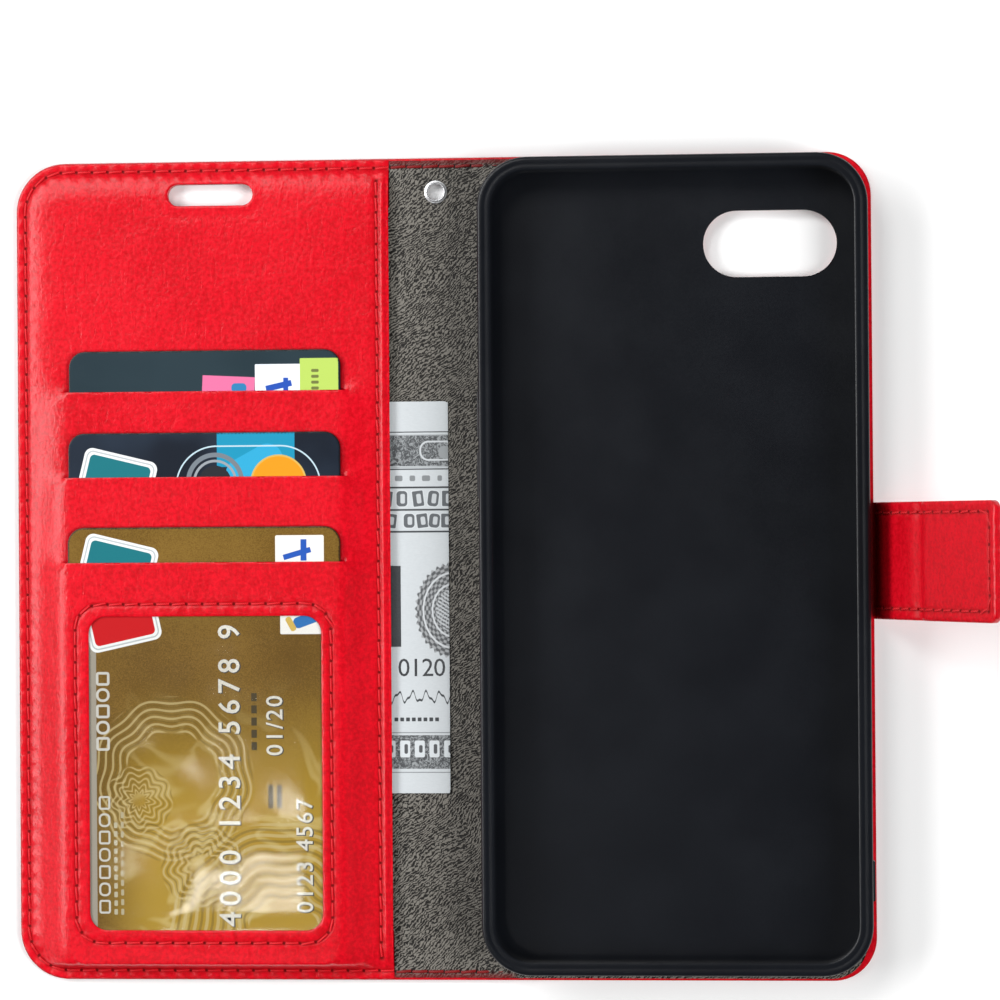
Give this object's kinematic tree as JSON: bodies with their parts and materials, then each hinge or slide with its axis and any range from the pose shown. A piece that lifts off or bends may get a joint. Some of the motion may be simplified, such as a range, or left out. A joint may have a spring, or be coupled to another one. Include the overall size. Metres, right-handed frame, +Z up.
{
  "type": "phone wallet case",
  "caption": "Folding leather-look phone wallet case with a rubber phone tray, card slits, an ID window, a cash pocket, a lanyard eyelet and a magnetic strap.",
  "frame": {"origin": "on the outer face of the spine, midway across it and midway along the case", "axes": "+X from the front cover across the spine to the back cover, +Y towards the top of the phone, +Z up from the table, out of the inside of the open case"},
  "size_m": [0.1915, 0.1616, 0.0389],
  "materials": {
    "red_leather": "fine pebble grain, soft gloss",
    "grey_lining": "wrinkled grain, matt",
    "liner_cloth": "plain weave",
    "board": "grey board",
    "foam": "soft foam",
    "adhesive": "clear adhesive",
    "steel": "plain steel",
    "magnet": "nickel plated",
    "chrome": "polished",
    "black_tpu": "satin",
    "clear_film": "glossy clear film",
    "note_paper": "printed paper",
    "card_slate": "laminated card",
    "card_navy": "laminated card",
    "card_bronze": "laminated card"
  },
  "bodies": {
    "back": {"back_skin": "red_leather", "back_board": "board", "back_lining": "grey_lining", "tray_adhesive": "adhesive", "strap_tab": "red_leather", "phone_tray": "black_tpu"},
    "spine": {"spine_skin": "red_leather", "spine_lining": "grey_lining", "eyelet_barrel": "chrome", "eyelet_washer": "chrome"},
    "front": {"front_skin": "red_leather", "front_padding": "foam", "front_keeper": "steel", "front_board": "board", "front_lining": "grey_lining", "pocket_divider": "liner_cloth", "pocket_liner_1": "liner_cloth", "pocket_liner_2": "liner_cloth", "pocket_liner_3": "liner_cloth", "card_panel": "red_leather", "window_film": "clear_film", "banknote": "note_paper"},
    "card_1": {"card_1": "card_slate"},
    "card_2": {"card_2": "card_navy"},
    "card_3": {"card_3": "card_bronze"},
    "key_upper": {"key_cover_upper": "black_tpu"},
    "key_lower": {"key_cover_lower": "black_tpu"},
    "key_side": {"key_cover_side": "black_tpu"},
    "strap_side": {"strap_side_outer": "red_leather", "strap_side_inner": "red_leather"},
    "strap_flap": {"strap_flap_outer": "red_leather", "strap_flap_core": "board", "strap_magnet": "magnet", "strap_flap_inner": "red_leather"}
  },
  "joints": [
    {"name": "spine_fold", "type": "hinge", "parent": "back", "child": "spine", "pos_m": [0.008, 0, 0.0003], "axis": [0, 1, 0], "range_deg": [-90, 90]},
    {"name": "cover_fold", "type": "hinge", "parent": "spine", "child": "front", "pos_m": [-0.0069, 0, 0.0003], "axis": [0, 1, 0], "range_deg": [-90, 90], "deforming": ["banknote"]},
    {"name": "strap_root_fold", "type": "hinge", "parent": "back", "child": "strap_side", "pos_m": [0.08615, 0, 0.0003], "axis": [0, -1, 0], "range_deg": [-60, 30]},
    {"name": "strap_flap_fold", "type": "hinge", "parent": "strap_side", "child": "strap_flap", "pos_m": [0.09455, 0, 0.01485], "axis": [0, -1, 0], "range_deg": [0, 90]},
    {"name": "card_1_slide", "type": "slide", "parent": "front", "child": "card_1", "axis": [0, 1, 0], "range_m": [0, 0.08]},
    {"name": "card_2_slide", "type": "slide", "parent": "front", "child": "card_2", "axis": [0, 1, 0], "range_m": [0, 0.08]},
    {"name": "card_3_slide", "type": "slide", "parent": "front", "child": "card_3", "axis": [0, 1, 0], "range_m": [0, 0.08]},
    {"name": "key_upper_press", "type": "slide", "parent": "back", "child": "key_upper", "axis": [1, 0, 0], "range_m": [0, 0.0003], "stiffness_N_per_m": 1500},
    {"name": "key_lower_press", "type": "slide", "parent": "back", "child": "key_lower", "axis": [1, 0, 0], "range_m": [0, 0.0003], "stiffness_N_per_m": 1500},
    {"name": "key_side_press", "type": "slide", "parent": "back", "child": "key_side", "axis": [-1, 0, 0], "range_m": [0, 0.0003], "stiffness_N_per_m": 1500}
  ],
  "couplings": [
    {"joint": "cover_fold", "follows": "spine_fold", "ratio": 1}
  ]
}
